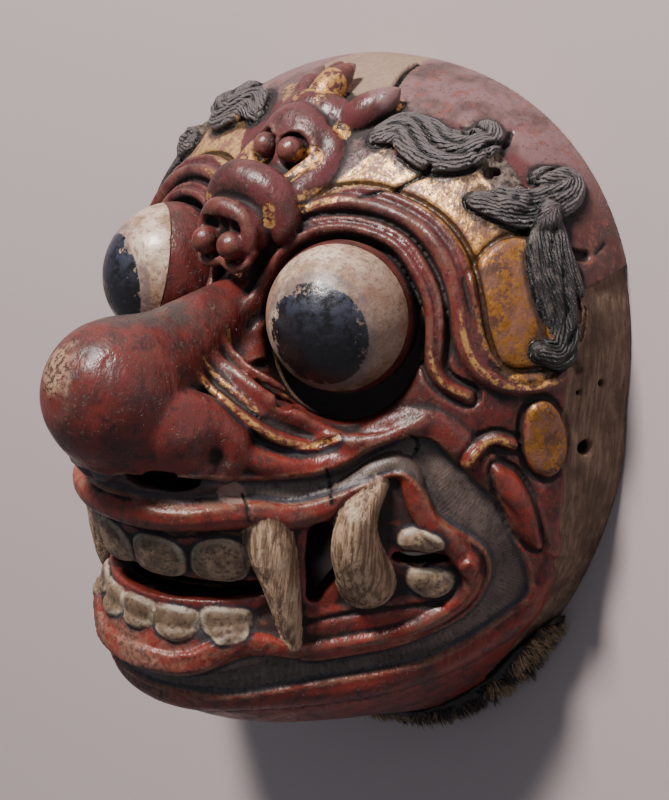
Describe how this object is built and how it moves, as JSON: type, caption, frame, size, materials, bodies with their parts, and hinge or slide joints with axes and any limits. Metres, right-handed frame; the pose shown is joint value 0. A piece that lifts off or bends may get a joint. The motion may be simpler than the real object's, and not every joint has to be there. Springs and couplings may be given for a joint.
{
  "type": "demon mask",
  "caption": "Carved and painted wooden demon mask with bulging eyes, long round nose, fanged open mouth and a scrolled brow crest, with a strip of haired hide under the jaw.",
  "frame": {"origin": "middle of the whole object's footprint, on the plane the rear rim lies on", "axes": "+Z out of the face, +Y towards the crown, +X towards the mask's own left"},
  "size_m": [0.2176, 0.2416, 0.154],
  "materials": {
    "painted_wood": "worn red lacquer with gold leaf, black and ivory",
    "haired_hide": "matt, dark bristles"
  },
  "bodies": {
    "root": {"mask": "painted_wood", "hide_strip": "haired_hide"}
  },
  "joints": []
}
